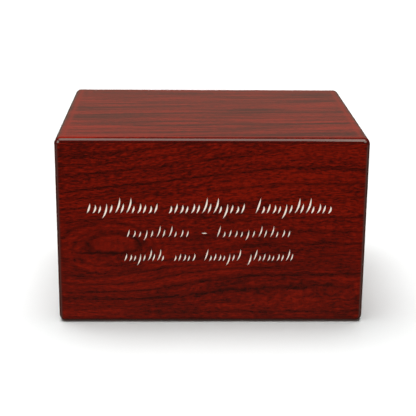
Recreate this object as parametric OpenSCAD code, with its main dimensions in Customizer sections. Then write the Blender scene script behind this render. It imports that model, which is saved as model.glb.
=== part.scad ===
// Cremation urn box: five mitred boards with rounded, lacquered edges, and a base panel screwed up into a
// rebate in their feet.
// +Z is up and the inscribed face looks along -Y. The origin is the middle of the underside. Millimetres.

/* [Body] */
// Width of the box, side to side
body_w = 225; // [170:1:320]
// Depth of the box, front to back
body_d = 182; // [120:1:280]
// Height of the box
body_h = 140; // [100:1:240]
// Thickness of the front, back, side and top boards
board_t = 15; // [12.5:0.5:20]
// Radius of every rounded outer edge
edge_r = 4.7; // [1:0.1:6]

/* [Base panel] */
// Thickness of the base panel
base_t = 6; // [4:0.5:10]
// Height of the base panel above the surface that the urn stands on
base_recess = 1; // [0.5:0.5:3]
// Width of the rim that the urn stands on, outside the base panel
rim_w = 6.5; // [6.5:0.5:8]
// Gap all round the edge of the base panel
base_gap = 0.4; // [0.2:0.1:0.8]

/* [Screws] */
// Diameter of the countersunk head
screw_head_d = 6; // [5:0.5:6]
// Diameter over the thread
screw_d = 3; // [2.5:0.5:3.5]
// Overall length of a screw
screw_l = 18; // [14:1:24]
// Distance from the side of the box to the nearest screw
screw_inset = 40; // [25:1:60]
// Distance from the long edge of the base panel to a screw's axis
screw_edge = 4; // [3.5:0.5:4.5]

/* [Inscription] */
// Plain face left at each end of the longest row
inscription_margin = 23.5; // [15:0.5:40]
// Sideways offset of the inscription
inscription_x = -2; // [-5:0.5:5]
// Baseline of the middle row, below the middle of the face
inscription_drop = 3.8; // [0:0.1:10]
// Distance from one row's baseline to the next
row_pitch = 18.2; // [16:0.1:24]
// Depth of the engraving
engraving_depth = 0.5; // [0.2:0.1:1]
// Lean of the strokes from upright, in degrees
stroke_lean = 17; // [0:1:30]

/* [Hidden] */
$fn = 64;

CHERRY = [0.36, 0.05, 0.03];
BARE_BOARD = [0.25, 0.16, 0.11];
STEEL = [0.68, 0.62, 0.45];

// Height of the shoulder, inside the rim, that the base panel is screwed up against
shoulder_z = base_recess + base_t;

screw_x = body_w / 2 - screw_inset;
screw_y = body_d / 2 - rim_w - base_gap - screw_edge;

head_r = screw_head_d / 2;
thread_r = screw_d / 2;
core_r = 0.68 * thread_r;
head_rim = 0.3;
head_h = head_rim + head_r - thread_r;
plain_l = base_t;
tip_l = 3;
thread_pitch = 1.4;
cut = 1;
screw_gap = 0.05;

// Each row: width as a share of the longest row, height of its short and tall strokes, drop of its low
// strokes, stroke width, and how many strokes each group has. A group of one stroke is a dash.
ROWS = [
    [1.00, 8.0, 12.6, 4.0, 1.30, [13, 14, 14]],
    [0.68, 6.4, 9.6, 2.4, 0.95, [11, 1, 13]],
    [0.70, 6.2, 9.8, 3.6, 1.00, [9, 5, 8, 10]]
];
// Space between two groups, in strokes
word_gap = 1.6;

// ---- the rounded block that the boards are parts of ----

// Four cylinders along the Z axis, at the corners of a rectangle
module edge_cylinders(length, across_1, across_2, r) {
    for (a = [-1, 1], b = [-1, 1])
        translate([a * across_1, b * across_2, 0]) cylinder(h = length, r = r, center = true);
}

// A block standing on the origin with every edge and corner rounded
module rounded_block(w, d, h, r) {
    x = w / 2 - r;
    y = d / 2 - r;
    z = h / 2 - r;
    translate([0, 0, h / 2]) {
        cube([w, 2 * y, 2 * z], center = true);
        cube([2 * x, d, 2 * z], center = true);
        cube([2 * x, 2 * y, h], center = true);
        edge_cylinders(2 * z, x, y, r);
        rotate([90, 0, 0]) edge_cylinders(2 * y, x, z, r);
        rotate([0, 90, 0]) edge_cylinders(2 * x, z, y, r);
        for (a = [-1, 1], b = [-1, 1], c = [-1, 1]) translate([a * x, b * y, c * z]) sphere(r);
    }
}

// ---- boards ----

// Section of a board that is mitred at both ends, with its outer face on the X axis
module mitred_section(length) {
    polygon([
        [-length / 2, 0], [length / 2, 0], [length / 2 - board_t, board_t], [-length / 2 + board_t, board_t]
    ]);
}

// Section of an upright board: mitred at the top, square at the foot, with its outer face on the Y axis
module upright_section() {
    polygon([[0, 0], [board_t, 0], [board_t, body_h - board_t], [0, body_h]]);
}

// The space of an upright board whose outer face is at -Y, reach from the middle
module upright_space(length, reach) {
    translate([0, -reach, 0]) intersection() {
        linear_extrude(body_h) mitred_section(length);
        rotate([90, 0, 90]) linear_extrude(length, center = true) upright_section();
    }
}

// The space of the top board
module top_space() {
    translate([0, 0, body_h]) intersection() {
        rotate([90, 180, 0]) linear_extrude(body_d, center = true) mitred_section(body_w);
        rotate([90, 180, 90]) linear_extrude(body_w, center = true) mitred_section(body_d);
    }
}

// What the rebate for the base panel takes out of the upright boards
module base_rebate() {
    translate([0, 0, (shoulder_z - cut) / 2])
        cube([body_w - 2 * rim_w, body_d - 2 * rim_w, shoulder_z + cut], center = true);
}

module upright_board(turn, length, reach) {
    color(CHERRY) difference() {
        intersection() {
            rounded_block(body_w, body_d, body_h, edge_r);
            rotate(turn) upright_space(length, reach);
        }
        base_rebate();
        children();
    }
}

module top_panel() {
    color(CHERRY) intersection() {
        rounded_block(body_w, body_d, body_h, edge_r);
        top_space();
    }
}

// ---- inscription: rows of leaning quill strokes that are no letters ----

// Arc of a circle through two points a chord apart, bulging by rise to +X; the rise may be negative
module chord_disc(chord, rise) {
    r = (chord * chord / 4 + rise * rise) / (2 * abs(rise));
    translate([rise - sign(rise) * r, 0]) circle(r, $fn = 180);
}

// A stroke that swells in the middle and is pointed at both ends, standing on the origin
module quill_stroke(height, width, bow) {
    rotate(-stroke_lean) translate([0, height / 2]) {
        if (bow > width / 2) difference() {
            chord_disc(height, bow + width / 2);
            chord_disc(height, bow - width / 2);
        } else intersection() {
            chord_disc(height, bow + width / 2);
            chord_disc(height, bow - width / 2);
        }
    }
}

// Which strokes are tall and which hang low follows a fixed rhythm
function is_tall(k) = (k * 5 + 2) % 9 < 2;
function is_low(k) = (k * 7 + 3) % 12 == 0;
function foot(k, drop) = is_low(k) ? -drop : 0;
function stroke_height(k, short, tall) = is_tall(k) ? tall : short - 0.12 * short * (k % 3);
function stroke_bow(k, width) = width * (k % 2 == 0 ? 0.35 : 0.8);

// How many strokes and gaps come before group g of a row
function slots_before(groups, g) = g == 0 ? 0 : slots_before(groups, g - 1) + groups[g - 1] + word_gap;

module row_strokes(row, total_w) {
    groups = row[5];
    slots = slots_before(groups, len(groups) - 1) + groups[len(groups) - 1];
    slot_w = total_w * row[0] / slots;
    for (g = [0 : len(groups) - 1], s = [0 : groups[g] - 1]) {
        k = g * 17 + s;
        low = foot(k, row[3]);
        x = (slots_before(groups, g) + s + 0.2) * slot_w - slots * slot_w / 2;
        if (groups[g] == 1)
            translate([x, row[1] / 2]) rotate(stroke_lean - 90) quill_stroke(slot_w, row[4], 0);
        else
            translate([x + low * tan(stroke_lean), low])
                quill_stroke(stroke_height(k, row[1], row[2]) - low, row[4], stroke_bow(k, row[4]));
    }
}

module inscription() {
    middle = (len(ROWS) - 1) / 2;
    translate([inscription_x, engraving_depth - body_d / 2, body_h / 2 - inscription_drop]) rotate([90, 0, 0])
        linear_extrude(engraving_depth + cut)
            for (i = [0 : len(ROWS) - 1])
                translate([0, (middle - i) * row_pitch])
                    row_strokes(ROWS[i], body_w - 2 * inscription_margin);
}

// ---- screws and their holes ----

// Outline of a screw, half of it, from the head's outer face at z = 0 up to the tip
function thread_points(z, end) = z + thread_pitch > end ? [] : concat(
    [[core_r, z], [thread_r, z + 0.35 * thread_pitch], [core_r, z + 0.7 * thread_pitch]],
    thread_points(z + thread_pitch, end));

module cross_recess() {
    blade_w = 0.3 * head_r;
    depth = 0.55 * head_r;
    translate([0, 0, -cut]) intersection() {
        union() {
            for (turn = [0, 90]) rotate(turn)
                translate([-0.6 * head_r, -blade_w / 2, 0]) cube([1.2 * head_r, blade_w, depth + cut]);
        }
        cylinder(h = depth + cut, r1 = 0.6 * head_r + 0.3 * cut, r2 = 0.25 * head_r);
    }
}

module screw() {
    color(STEEL) difference() {
        rotate_extrude() polygon(concat(
            [[0, 0], [head_r, 0], [head_r, head_rim], [thread_r, head_h], [thread_r, plain_l]],
            [[core_r, plain_l]],
            thread_points(plain_l + 0.3, screw_l - tip_l),
            [[core_r, screw_l - tip_l], [0, screw_l]]));
        cross_recess();
    }
}

// What a screw's head and plain shank take out of the base panel
module countersink() {
    translate([0, 0, -cut]) cylinder(h = cut + head_rim, r = head_r + screw_gap);
    translate([0, 0, head_rim])
        cylinder(h = head_h - head_rim, r1 = head_r + screw_gap, r2 = thread_r + screw_gap);
    cylinder(h = base_t + cut, r = thread_r + screw_gap);
}

// What a screw's thread and tip take out of a board
module pilot_hole() {
    translate([0, 0, base_t - cut]) {
        cylinder(h = screw_l - base_t - tip_l + cut, r = thread_r + screw_gap);
        translate([0, 0, screw_l - base_t - tip_l + cut])
            cylinder(h = tip_l + 2 * screw_gap, r1 = thread_r + screw_gap, r2 = 0.2);
    }
}

// Puts its children at the screw on side x (-1 left, 1 right) and y (-1 front, 1 back)
module at_screw(x, y) {
    translate([x * screw_x, y * screw_y, base_recess]) children();
}

module pilot_holes(y) {
    for (x = [-1, 1]) at_screw(x, y) pilot_hole();
}

// ---- the separate pieces ----

module front_panel() {
    upright_board(0, body_w, body_d / 2) {
        inscription();
        pilot_holes(-1);
    }
}

module back_panel() {
    upright_board(180, body_w, body_d / 2) pilot_holes(1);
}

module left_side_panel() {
    upright_board(-90, body_d, body_w / 2);
}

module right_side_panel() {
    upright_board(90, body_d, body_w / 2);
}

module base_panel() {
    inset = 2 * (rim_w + base_gap);
    color(BARE_BOARD) difference() {
        translate([0, 0, base_recess + base_t / 2])
            cube([body_w - inset, body_d - inset, base_t], center = true);
        for (x = [-1, 1], y = [-1, 1]) at_screw(x, y) countersink();
    }
}

front_panel();
back_panel();
left_side_panel();
right_side_panel();
top_panel();
base_panel();
at_screw(-1, -1) screw();  // screw_front_left
at_screw(1, -1) screw();  // screw_front_right
at_screw(-1, 1) screw();  // screw_back_left
at_screw(1, 1) screw();  // screw_back_right
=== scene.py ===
import math

import bmesh
import bpy
from mathutils import Matrix, Vector


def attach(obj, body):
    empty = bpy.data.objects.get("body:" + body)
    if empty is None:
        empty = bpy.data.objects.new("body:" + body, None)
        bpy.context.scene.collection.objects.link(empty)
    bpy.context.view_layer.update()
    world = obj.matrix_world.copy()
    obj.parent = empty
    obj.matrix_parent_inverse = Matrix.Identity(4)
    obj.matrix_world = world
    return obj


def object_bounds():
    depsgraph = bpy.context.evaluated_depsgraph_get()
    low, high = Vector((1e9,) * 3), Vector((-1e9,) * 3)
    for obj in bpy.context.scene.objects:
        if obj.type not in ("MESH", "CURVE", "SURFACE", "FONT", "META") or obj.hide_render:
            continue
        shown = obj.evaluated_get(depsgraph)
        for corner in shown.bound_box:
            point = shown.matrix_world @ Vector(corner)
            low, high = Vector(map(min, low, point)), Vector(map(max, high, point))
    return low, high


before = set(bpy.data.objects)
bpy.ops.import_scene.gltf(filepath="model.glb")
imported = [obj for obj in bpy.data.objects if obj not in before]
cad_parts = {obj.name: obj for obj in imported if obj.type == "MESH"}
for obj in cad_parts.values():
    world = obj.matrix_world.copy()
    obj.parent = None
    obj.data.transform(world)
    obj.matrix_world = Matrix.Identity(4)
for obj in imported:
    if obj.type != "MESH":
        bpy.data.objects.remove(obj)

# The looks of a cremation urn box: boards with a lacquered cherry-red grain, painted engraving, base panel
# and screws. Places are metres in the frame, where the front faces -Y and +Z is up. Grain is drawn in
# millimetres.

CAD_LOW, CAD_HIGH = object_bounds()
MM = 0.001
PAINT_THICKNESS = 0.28 * MM
# Where the engraving's floors may lie, as depths below the front face
ENGRAVING_DEPTHS = (0.3 * MM, 0.8 * MM)
# Radius of the boards' rounded edges, in millimetres
EDGE_RADIUS = 4.7
BOARD_RELIEF = 0.06 * MM
BASE_RELIEF = 0.1 * MM
COAT_ROUGHNESS = 0.03

# Colours, as linear red, green and blue
CHERRY_DEEP = (0.041, 0.0027, 0.0017)
CHERRY = (0.093, 0.0036, 0.0015)
CHERRY_BRIGHT = (0.150, 0.0057, 0.0018)
# Dark of the grain lines and pores, also used for a painted shade line along the top roundings
GRAIN_AND_SHADE_DARK = (0.013, 0.0019, 0.0014)
# Stain of the roundings, made darker in part as painted shade
EDGE_STAIN_AND_SHADE = (0.046, 0.0014, 0.0009)
RAW_BOARD = (0.26, 0.155, 0.085)
CREAM_PAINT = (0.80, 0.725, 0.765)
BASE_STAIN_DARK = (0.050, 0.020, 0.012)
BASE_STAIN_LIGHT = (0.074, 0.028, 0.016)
SCREW_DARK = (0.50, 0.42, 0.24)
SCREW_LIGHT = (0.66, 0.57, 0.36)
PAINT_SHADE = (0.80, 0.73, 0.68)
FLOOR_WHITE = (0.885, 0.9, 0.905)
PLAIN_LIGHT = (1.0, 1.0, 1.0)
WARM_LIGHT = (1.03, 1.0, 0.88)
WARM_ROOM = (1.06, 1.0, 0.80)


# ---- node formulas ----

class Value:
    """A number that varies over the surface: a node's output that ordinary arithmetic works on."""

    def __init__(self, graph, socket):
        self.graph, self.socket = graph, socket

    def __add__(self, other):
        return self.graph.math("ADD", self, other)

    def __radd__(self, other):
        return self.graph.math("ADD", other, self)

    def __sub__(self, other):
        return self.graph.math("SUBTRACT", self, other)

    def __rsub__(self, other):
        return self.graph.math("SUBTRACT", other, self)

    def __mul__(self, other):
        return self.graph.math("MULTIPLY", self, other)

    def __rmul__(self, other):
        return self.graph.math("MULTIPLY", other, self)

    def __truediv__(self, other):
        return self.graph.math("DIVIDE", self, other)

    def __neg__(self):
        return self.graph.math("MULTIPLY", self, -1.0)

    def __abs__(self):
        return self.graph.math("ABSOLUTE", self)


class Graph:
    """The nodes of one material or world, made new and empty."""

    def __init__(self, owner):
        self.owner = owner
        owner.use_nodes = True
        self.tree = owner.node_tree
        self.tree.nodes.clear()

    def node(self, kind, **settings):
        made = self.tree.nodes.new(kind)
        for name, value in settings.items():
            setattr(made, name, value)
        return made

    def feed(self, socket, value):
        """Sets an input to a plain number or colour, or links it to a Value or an output."""
        if isinstance(value, Value):
            value = value.socket
        if isinstance(value, bpy.types.NodeSocket):
            self.tree.links.new(value, socket)
        elif socket.type == "RGBA" and len(value) == 3:
            socket.default_value = (*value, 1.0)
        else:
            socket.default_value = value

    def math(self, operation, *values, clamp=False):
        made = self.node("ShaderNodeMath", operation=operation, use_clamp=clamp)
        for socket, value in zip(made.inputs, values):
            self.feed(socket, value)
        return Value(self, made.outputs[0])

    def coordinates(self):
        """X, Y and Z of the point in the frame, in millimetres."""
        where = self.node("ShaderNodeTexCoord").outputs["Object"]
        split = self.node("ShaderNodeSeparateXYZ")
        self.feed(split.inputs[0], where)
        return [Value(self, socket) / MM for socket in split.outputs]

    def noise(self, x, y, z, detail=2.0, roughness=0.5):
        """Smooth noise from 0 to 1 with features about one unit across."""
        point = self.node("ShaderNodeCombineXYZ")
        for socket, value in zip(point.inputs, (x, y, z)):
            self.feed(socket, value)
        made = self.node("ShaderNodeTexNoise")
        self.feed(made.inputs["Vector"], point.outputs[0])
        for name, value in (("Scale", 1.0), ("Detail", detail), ("Roughness", roughness)):
            made.inputs[name].default_value = value
        return Value(self, made.outputs[0])

    def ramp(self, value, low, high):
        """0 below low, 1 above high, and a smooth step between them."""
        made = self.node("ShaderNodeMapRange", interpolation_type="SMOOTHSTEP")
        for name, amount in (("Value", value), ("From Min", low), ("From Max", high)):
            self.feed(made.inputs[name], amount)
        return Value(self, made.outputs[0])

    def hill(self, offset, half_width):
        """1 where offset is 0, falling off to either side like a bell."""
        return self.math("EXPONENT", -(offset * offset) / (half_width * half_width))

    def mix(self, share, first, second):
        """first where share is 0, second where it is 1; both are colours."""
        made = self.node("ShaderNodeMix", data_type="RGBA")
        for socket, value in zip([made.inputs[i] for i in (0, 6, 7)], (share, first, second)):
            self.feed(socket, value)
        return made.outputs[2]

    def surface(self, colour, roughness, metallic=0.0, coat=0.0, specular=0.5, bump=None):
        """Ends the material in a Principled shader, with its constants set on the shader's own sockets."""
        shader = self.node("ShaderNodeBsdfPrincipled")
        values = {
            "Base Color": colour, "Roughness": roughness, "Metallic": metallic, "Coat Weight": coat,
            "Coat Roughness": COAT_ROUGHNESS, "Coat IOR": 1.5, "Specular IOR Level": specular,
        }
        for name, value in values.items():
            self.feed(shader.inputs[name], value)
        if bump:
            height, depth = bump
            made = self.node("ShaderNodeBump")
            made.inputs["Strength"].default_value = 1.0
            made.inputs["Distance"].default_value = depth
            self.feed(made.inputs["Height"], height)
            self.feed(shader.inputs["Normal"], made.outputs[0])
        self.feed(self.node("ShaderNodeOutputMaterial").inputs[0], shader.outputs[0])
        return self.owner


def new_material(name):
    return Graph(bpy.data.materials.new(name))


# ---- wood grain ----

# Dark lines of each board: where along the flow they lie, half width, strength, and the stretch they cover,
# all but the strength in millimetres. Further away they fade out.
FRONT_LINES = [
    (125.0, 1.0, 0.55, -120, 20), (118.5, 0.8, 0.45, -120, -20), (111.5, 1.1, 0.60, -120, 30),
    (105.0, 0.7, 0.35, -60, 60), (99.5, 1.2, 0.70, -120, 120), (93.0, 0.8, 0.35, -120, -30),
    (88.0, 1.1, 0.60, 0, 120), (84.0, 0.9, 0.40, -120, -30), (78.0, 0.8, 0.40, -30, 120),
    (72.0, 1.0, 0.55, -112, -48), (66.0, 0.9, 0.45, -10, 120), (58.0, 0.8, 0.35, -35, 110),
    (51.0, 0.9, 0.50, 10, 120), (45.5, 0.9, 0.40, -30, 60), (41.5, 1.0, 0.55, -110, -25),
    (34.0, 1.2, 0.60, -120, 60), (26.5, 1.3, 0.70, -100, 120), (19.5, 1.2, 0.65, -120, 100),
    (13.0, 0.8, 0.35, -120, 0), (8.0, 1.1, 0.50, -60, 120),
]
# Wide lighter and darker patches of the front board: middle along and up, half length, half height, strength
FRONT_PATCHES = [
    (62, 104, 55, 13, 0.22), (-98, 128, 45, 9, -0.22), (-72, 40, 30, 6, 0.12), (95, 52, 26, 12, -0.16),
    (20, 20, 110, 9, -0.10), (-20, 86, 60, 7, -0.10),
]
TOP_LINES = [
    (70.0, 1.8, 0.40, -112, 60), (49.0, 2.4, 0.55, 20, 112), (33.0, 1.6, 0.35, -112, 112),
    (18.6, 2.2, 0.60, -112, 0), (7.0, 1.4, 0.35, -60, 112), (-6.5, 2.4, 0.90, -90, 112),
    (-17.0, 1.5, 0.35, -112, 40), (-26.0, 1.5, 0.45, -20, 112), (-36.0, 1.2, 0.30, -112, 60),
    (-47.0, 2.4, 0.85, -65, 112), (-57.0, 1.3, 0.35, -112, 112), (-70.0, 2.4, 0.60, -100, 30),
    (-79.0, 1.4, 0.40, -20, 112),
]
SIDE_LINES = [
    (118.0, 1.2, 0.45, -90, 30), (101.0, 1.6, 0.65, -90, 90), (83.0, 1.1, 0.45, -20, 90),
    (70.0, 1.7, 0.60, -90, 60), (46.0, 1.2, 0.55, -60, 90), (31.0, 1.6, 0.60, -90, 90),
    (14.0, 1.2, 0.45, -90, 10),
]
BACK_LINES = [
    (44.0, 1.3, 0.55, -60, 120), (52.0, 1.2, 0.60, -90, 120), (61.0, 1.5, 0.65, -112, 120),
    (74.0, 1.3, 0.55, -120, 120), (89.0, 1.6, 0.60, -120, 120), (106.0, 1.3, 0.50, -120, 120),
]


def flow_round_eye(g, along, across):
    """Grain of the front board: it parts round an eye at the left and climbs gently to the right above it."""
    eye_x, eye_z = -72.0, 56.0
    rise = 19.0 * g.ramp(along, -130.0, 70.0) * g.ramp(across, 5.0, 110.0)
    sag = 7.0 * g.ramp(along, -112.0, 40.0) * g.hill(across - 33.0, 14.0)
    above_axis = across - eye_z
    w = above_axis / 17.0
    bulge = 12.0 * w * g.math("EXPONENT", -0.5 * w * w) * g.hill(along - eye_x, 50.0)
    return across - rise - sag - bulge


def eye_rings(g, along, across, seed):
    """The faint dark rings of the eye, how bright its middle is, and the dark streak that underlines it."""
    waver = 3.6 * (g.noise(along / 9.0, across / 6.0, seed, detail=3.0) - 0.5)
    x, z = (along + 71.0) / 2.6, across - 61.3 + waver
    from_middle = g.math("SQRT", x * x + z * z)
    x, z = (along + 73.0) / 3.6, across - 51.0 + waver
    from_lens = g.math("SQRT", x * x + z * z)
    x, z = (along + 76.0) / 1.75, across - 58.0 + waver
    from_rim = g.math("SQRT", x * x + z * z)
    outer = 0.50 * g.hill(from_rim - 20.0, 1.1) + 0.40 * g.hill(from_rim - 14.0, 0.9)
    inner = 0.65 * g.hill(from_middle - 7.3, 1.2) + 0.4 * g.hill(from_lens - 3.2, 0.8)
    rings = inner + outer * g.ramp(along, -30.0, -62.0)
    streak_end = g.ramp(along, -106.0, -92.0) * g.ramp(along, -52.0, -68.0)
    streak = g.hill(across - 54.3 + waver, 1.2) * streak_end
    bright = g.ramp(from_middle, 7.0, 4.5)
    return g.math("MAXIMUM", rings, streak), bright


def flow_straight(g, along, across):
    """Quarter-sawn grain that runs nearly straight along a board."""
    return across - 0.06 * along


def flow_arch(g, along, across):
    """Flat-sawn grain: long arches that close towards one end."""
    off_axis = across - 66.0
    depth = 40.0 + 0.3 * along
    return g.math("SQRT", off_axis * off_axis + depth * depth) * 1.5 + 0.5 * off_axis


def dark_lines(g, along, q, lines, seed):
    """How much the drawn lines darken the point, from 0 to 1, broken up and softened as they run."""
    total = 0.0
    for place, half_width, strength, start, end in lines:
        stretch = g.ramp(along, start - 12.0, start + 14.0) * g.ramp(along, end + 12.0, end - 14.0)
        total = total + strength * stretch * g.hill(q - place, half_width)
    broken = g.ramp(g.noise(along / 11.0, q / 1.6, seed, detail=3.0, roughness=0.65), 0.30, 0.60)
    return g.math("MINIMUM", total * (0.35 + 1.0 * broken), 1.0)


def patches(g, along, across, flow):
    """How much lighter or darker the wide patches of the front board make the point."""
    total = 0.0
    if flow is flow_round_eye:
        for middle_x, middle_z, half_length, half_height, strength in FRONT_PATCHES:
            spread = g.hill(along - middle_x, half_length) * g.hill(across - middle_z, half_height)
            total = total + strength * spread
    return total


def grain_colour(g, along, across, flow, lines, seed, contrast=1.0, waviness=1.0, length=1.0):
    """Cherry-red figure drawn along the flow: broad tones, streaks, fibres, dark lines and pores.
    Gives its colour, and the fine relief of fibres and pores under the lacquer."""
    wander = 3.0 * waviness * (g.noise(along / 60.0, across / 22.0, seed) - 0.5)
    ripple = 2.6 * waviness * (g.noise(along / 10.0, across / 6.0, seed + 3.0, detail=2.0) - 0.5)
    q = flow(g, along, across) + wander + ripple

    broad = g.noise(along / (90.0 * length), q / 13.0, seed + 10.0, detail=2.0) - 0.5
    streak = g.noise(along / (26.0 * length), q / 2.2, seed + 20.0, detail=2.0, roughness=0.55) - 0.5
    fibre = g.noise(along / 4.6, q / 0.85, seed + 30.0, detail=1.0) - 0.5
    liveliness = 0.7 + 0.4 * g.ramp(across, 60.0, 95.0)
    mottle = g.noise(along / 3.2, q / 1.9, seed + 35.0, detail=1.0) - 0.5
    figure = contrast * (broad + 1.5 * streak)
    texture = liveliness * (2.3 * fibre + 1.1 * mottle)
    tone = 0.5 + patches(g, along, across, flow) + figure + texture

    dark_to_mid = g.ramp(tone, -0.05, 0.55)
    mid_to_bright = g.ramp(tone, 0.45, 1.05)
    colour = g.mix(mid_to_bright, g.mix(dark_to_mid, CHERRY_DEEP, CHERRY), CHERRY_BRIGHT)
    dark = dark_lines(g, along, q, lines, seed + 50.0)
    if flow is flow_round_eye:
        rings, bright = eye_rings(g, along, across, seed + 80.0)
        dark = g.math("MAXIMUM", dark, rings)
        colour = g.mix(0.35 * bright, colour, CHERRY_BRIGHT)
    colour = g.mix(0.85 * dark, colour, GRAIN_AND_SHADE_DARK)

    pore = g.ramp(g.noise(along / 2.4, q / 0.5, seed + 60.0, detail=1.0), 0.60, 0.72)
    pore_patch = g.ramp(g.noise(along / 18.0, q / 5.0, seed + 70.0, detail=2.0), 0.35, 0.65)
    pores = 0.75 * pore * pore_patch
    return g.mix(pores, colour, GRAIN_AND_SHADE_DARK), 0.6 * fibre - pores


# ---- materials ----

def depth_under_surface(g, x, y, z):
    """Distance below the urn's rounded outer surface, and how far the point is into a rounding, in
    millimetres."""
    half = [(high - low) / 2 / MM for low, high in zip(CAD_LOW, CAD_HIGH)]
    past = [abs(value) - (size - EDGE_RADIUS) for value, size in zip((x, y, z - half[2]), half)]
    outside = [g.math("MAXIMUM", value, 0.0) for value in past]
    squares = outside[0] * outside[0] + outside[1] * outside[1] + outside[2] * outside[2]
    largest = g.math("MAXIMUM", g.math("MAXIMUM", past[0], past[1]), past[2])
    inside = g.math("MINIMUM", largest, 0.0)
    depth = EDGE_RADIUS - g.math("SQRT", squares) - inside
    # Near the surface the largest always reaches past its flat part; the middle one tells face from rounding
    smallest = g.math("MINIMUM", g.math("MINIMUM", past[0], past[1]), past[2])
    middle = past[0] + past[1] + past[2] - largest - smallest
    return depth, middle


def board_material(name, along_axis, across_axis, flow, lines, seed, lip_highlight=0.0, **figure):
    """Lacquered grain on the flat face, stain on the roundings made darker in part as painted shade, a
    painted shade line along the top roundings, and raw fibreboard inside. lip is how much a painted highlight
    brightens the grain beside a rounding, and figure goes to grain_colour."""
    g = new_material(name)
    point = g.coordinates()
    depth, past_flat = depth_under_surface(g, *point)
    grain, relief = grain_colour(g, point[along_axis], point[across_axis], flow, lines, seed, **figure)
    # Painted highlight: the top's grain is brightened just inside its rounded edges
    grain = g.mix(lip_highlight * g.hill(past_flat + 1.6, 1.6), grain, CHERRY_BRIGHT)
    # Painted shade: a dark line along the roundings, a little below the top edge
    shade_line = 0.75 * g.hill(point[2] - (CAD_HIGH.z / MM - 3.1), 0.8) * g.ramp(past_flat, 0.8, 1.5)
    grain = g.mix(shade_line, grain, GRAIN_AND_SHADE_DARK)
    veneered = g.ramp(past_flat, 2.8, 1.4)
    lacquered = g.ramp(depth, 0.24, 0.16)
    # On the roundings the grain gives way to a stain whose dark colour is partly painted shade
    colour = g.mix(veneered, EDGE_STAIN_AND_SHADE, grain)
    colour = g.mix(lacquered, RAW_BOARD, colour)
    bump = (relief * veneered, BOARD_RELIEF)
    return g.surface(colour, 0.6, coat=1.0, specular=0.0, bump=bump)


def base_board_material():
    """Thin board with a plain dull stain, its straight grain just showing."""
    g = new_material("base_board")
    x, y, _ = g.coordinates()
    grain, relief = grain_colour(g, x, y, flow_straight, [], 71.0, waviness=0.5, length=1.6)
    cloud = g.noise(x / 30.0, y / 30.0, 5.0, detail=2.0)
    stain = g.mix(g.ramp(cloud, 0.3, 0.7), BASE_STAIN_DARK, BASE_STAIN_LIGHT)
    return g.surface(g.mix(0.62, grain, stain), 0.55, specular=0.3, bump=(relief, BASE_RELIEF))


def screw_material():
    g = new_material("screw_steel")
    x, y, z = g.coordinates()
    brush = g.noise(x / 0.2, y / 0.2, z / 0.6, detail=2.0)
    colour = g.mix(brush, SCREW_DARK, SCREW_LIGHT)
    return g.surface(colour, 0.28 + 0.14 * brush, metallic=1.0)


def paint_material():
    g = new_material("cream_paint")
    x, y, z = g.coordinates()
    cloud = g.noise(x / 1.5, y / 1.5, z / 1.5, detail=2.0)
    return g.surface(g.mix(cloud, PAINT_SHADE, CREAM_PAINT), 0.6)


# ---- pieces ----

def add_object(name, data):
    made = bpy.data.objects.new(name, data)
    bpy.context.scene.collection.objects.link(made)
    return made


def finish_cad_nodes():
    X, Y, Z = 0, 1, 2
    finishes = {
        "front_panel": board_material("front_board", X, Z, flow_round_eye, FRONT_LINES, 2.0),
        "back_panel": board_material("back_board", X, Z, flow_arch, BACK_LINES, 13.0),
        "left_side_panel": board_material("left_board", Y, Z, flow_straight, SIDE_LINES, 27.0),
        "right_side_panel": board_material("right_board", Y, Z, flow_straight, SIDE_LINES, 41.0),
        "top_panel": board_material(
            "top_board", X, Y, flow_straight, TOP_LINES, 55.0,
            lip_highlight=0.6, contrast=2.2, waviness=0.4, length=2.2,
        ),
        "base_panel": base_board_material(),
    }
    steel = screw_material()
    for name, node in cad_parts.items():
        node.data.materials.clear()
        node.data.materials.append(finishes.get(name, steel))


def fill_down_to_floor(mesh):
    """Makes the flat patches in the mesh solid, as deep as the paint is thick."""
    fill = bmesh.new()
    fill.from_mesh(mesh)
    bmesh.ops.remove_doubles(fill, verts=fill.verts, dist=0.001 * MM)
    made = bmesh.ops.extrude_face_region(fill, geom=fill.faces[:], use_keep_orig=True)
    lower = [item for item in made["geom"] if isinstance(item, bmesh.types.BMVert)]
    bmesh.ops.translate(fill, verts=lower, vec=(0, PAINT_THICKNESS, 0))
    bmesh.ops.recalc_face_normals(fill, faces=fill.faces)
    fill.to_mesh(mesh)
    fill.free()


def make_inscription_paint():
    """Cream paint in the engraved strokes, from each groove's floor to a little below the face."""
    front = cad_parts["front_panel"].data
    source = front.vertices
    shallow, deep = ENGRAVING_DEPTHS
    groove_floor = [
        polygon for polygon in front.polygons
        if polygon.normal.y < -0.99 and shallow < polygon.center.y - CAD_LOW.y < deep
    ]
    used = sorted({index for polygon in groove_floor for index in polygon.vertices})
    renumber = {index: place for place, index in enumerate(used)}
    level = source[used[0]].co.y - PAINT_THICKNESS
    points = [(source[index].co.x, level, source[index].co.z) for index in used]
    faces = [[renumber[index] for index in polygon.vertices] for polygon in groove_floor]
    mesh = bpy.data.meshes.new("inscription_paint")
    mesh.from_pydata(points, [], faces)
    fill_down_to_floor(mesh)
    mesh.materials.append(paint_material())
    paint = add_object("inscription_paint", mesh)
    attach(paint, "root")
    return paint


# ---- studio ----

def softbox(name, radiance, lit, place, aim, size):
    """A rectangular light of one brightness, which the lacquer mirrors."""
    data = bpy.data.lights.new(name, "AREA")
    data.shape = "RECTANGLE"
    data.size, data.size_y = size
    data.energy = radiance * size[0] * size[1] * math.pi
    data.color = WARM_LIGHT
    return place_light(name, data, lit, place, aim)


def fill_light(name, radiance, lit, place, spread, colour=WARM_LIGHT, mirrored=False):
    """Soft light from the direction of place, spread over that many degrees of sky."""
    data = bpy.data.lights.new(name, "SUN")
    data.angle = math.radians(spread)
    data.energy = radiance * math.pi
    data.color = colour
    light = place_light(name, data, lit, place, (0, 0, 0))
    light.visible_glossy = mirrored
    return light


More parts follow.
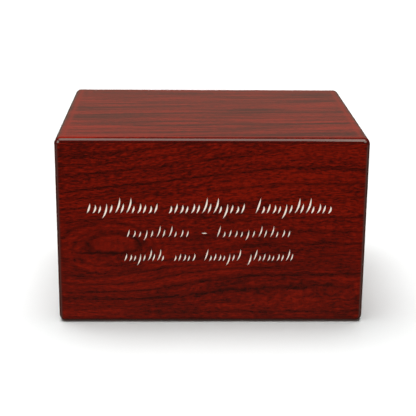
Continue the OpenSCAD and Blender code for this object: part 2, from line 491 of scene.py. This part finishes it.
def place_light(name, data, lit, place, aim):
    """Turns the light to the point aim, and lets it shine only on the objects in lit."""
    light = add_object(name, data)
    light.location = place
    light.rotation_euler = (Vector(aim) - Vector(place)).to_track_quat("-Z", "Y").to_euler()
    receivers = bpy.data.collections.new("lit_by_" + name)
    for lit_object in lit:
        receivers.objects.link(lit_object)
    light.light_linking.receiver_collection = receivers
    return light


def glow(name, brightness):
    """A material that shows one even brightness."""
    g = new_material(name)
    emission = g.node("ShaderNodeEmission")
    emission.inputs["Color"].default_value = (brightness, brightness, brightness, 1)
    g.feed(g.node("ShaderNodeOutputMaterial").inputs[0], emission.outputs[0])
    return g.owner


def make_floor():
    """A matte white floor that only the camera sees, so that the lacquer stays free of its reflection.
    From below it is clear, to leave a view of the underside."""
    reach = 9.0
    mesh = bpy.data.meshes.new("floor")
    corners = [(-reach, -reach, 0), (reach, -reach, 0), (reach, reach, 0), (-reach, reach, 0)]
    mesh.from_pydata(corners, [], [(0, 1, 2, 3)])
    g = new_material("floor")
    diffuse = g.node("ShaderNodeBsdfDiffuse")
    diffuse.inputs["Color"].default_value = (*FLOOR_WHITE, 1)
    sides = g.node("ShaderNodeMixShader")
    g.feed(sides.inputs[0], g.node("ShaderNodeNewGeometry").outputs["Backfacing"])
    g.feed(sides.inputs[1], diffuse.outputs[0])
    g.feed(sides.inputs[2], g.node("ShaderNodeBsdfTransparent").outputs[0])
    g.feed(g.node("ShaderNodeOutputMaterial").inputs[0], sides.outputs[0])
    mesh.materials.append(g.owner)
    floor = add_object("floor", mesh)
    floor.visible_glossy = floor.visible_diffuse = False
    return floor


def make_backdrop():
    """A white shell all round that only the camera sees."""
    mesh = bpy.data.meshes.new("backdrop")
    shell = bmesh.new()
    bmesh.ops.create_icosphere(shell, subdivisions=3, radius=8.5)
    shell.to_mesh(mesh)
    shell.free()
    mesh.materials.append(glow("backdrop", 1.0))
    backdrop = add_object("backdrop", mesh)
    backdrop.visible_glossy = backdrop.visible_diffuse = backdrop.visible_shadow = False


def make_surroundings():
    """Grey room light: dark behind the camera, which the upright front mirrors, and darker straight below."""
    bpy.context.scene.world = bpy.data.worlds.new("studio")
    g = Graph(bpy.context.scene.world)
    split = g.node("ShaderNodeSeparateXYZ")
    g.feed(split.inputs[0], g.node("ShaderNodeTexCoord").outputs["Generated"])
    towards_back, up = Value(g, split.outputs[1]), Value(g, split.outputs[2])
    horizon = g.ramp(towards_back, 0.3, 0.85) * g.ramp(up, 0.38, 0.24) * g.ramp(up, -0.1, 0.05)
    low_sides = g.hill(towards_back + 0.17, 0.26) * g.ramp(up, -0.1, -0.2) * g.ramp(up, -0.75, -0.5)
    low_front = g.ramp(towards_back, -0.5, -0.9) * g.ramp(up, -0.28, -0.4) * g.ramp(up, -0.85, -0.5)
    all_round = 0.05 * g.ramp(towards_back, -0.9, -0.3) + 0.03
    grey = 0.095 * horizon + 0.45 * low_sides + 0.05 * low_front + all_round
    background = g.node("ShaderNodeBackground")
    g.feed(background.inputs["Color"], g.mix(grey, (0, 0, 0), WARM_ROOM))
    g.feed(g.node("ShaderNodeOutputWorld").inputs[0], background.outputs[0])


def make_camera():
    """Looks down on the inscribed front from a little left of its middle."""
    data = bpy.data.cameras.new("camera")
    data.lens, data.sensor_width = 97.87, 36.0
    camera = add_object("camera", data)
    place = (-0.02204, -0.86965, 0.32769)
    turned_right, looking_down, rolled = 1.403, 17.062, 0.4998
    turn = Matrix.Rotation(math.radians(-turned_right), 4, "Z")
    tilt = Matrix.Rotation(math.radians(90 - looking_down), 4, "X")
    roll = Matrix.Rotation(math.radians(rolled), 4, "Z")
    camera.matrix_world = Matrix.Translation(place) @ turn @ tilt @ roll
    bpy.context.scene.camera = camera


finish_cad_nodes()
paint = make_inscription_paint()
floor = make_floor()
make_backdrop()
make_surroundings()
make_camera()

urn = [*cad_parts.values(), paint]
underside = [node for name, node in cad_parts.items() if name.startswith(("base", "screw"))]
top_aim, middle = (-0.03, -0.21, 0.0), (0, 0, 0.1)
softbox("top softbox", 3.3, urn, (-0.03, -0.21, 0.9), top_aim, (0.95, 0.60))
softbox("left softbox", 4.2, urn, (-0.66, -0.48, 0.48), middle, (0.5, 0.5))
softbox("right softbox", 3.4, urn, (0.465, -0.434, 0.736), middle, (0.5, 0.5))
fill_light("back fill", 1.55, urn, (0.2, 0.9, 1.0), 90)
fill_light("front fill", 0.27, urn, (-0.3, -1.0, 0.4), 100)
fill_light("bounce", 0.32, urn, (0.0, -1.0, -0.6), 120)
fill_light("low fill", 0.4, urn, (0.2, -0.3, -1.0), 120)
fill_light("base light", 0.7, underside, (0.2, -0.3, -1.0), 150, mirrored=True)
fill_light("overhead", 1.15, [floor], (-0.08, 0.105, 1.0), 54, PLAIN_LIGHT, mirrored=True)
fill_light("floor fill", 0.1, [floor], (-0.2, -1.0, 0.5), 90, PLAIN_LIGHT, mirrored=True)
bpy.context.scene.view_settings.view_transform = "Standard"
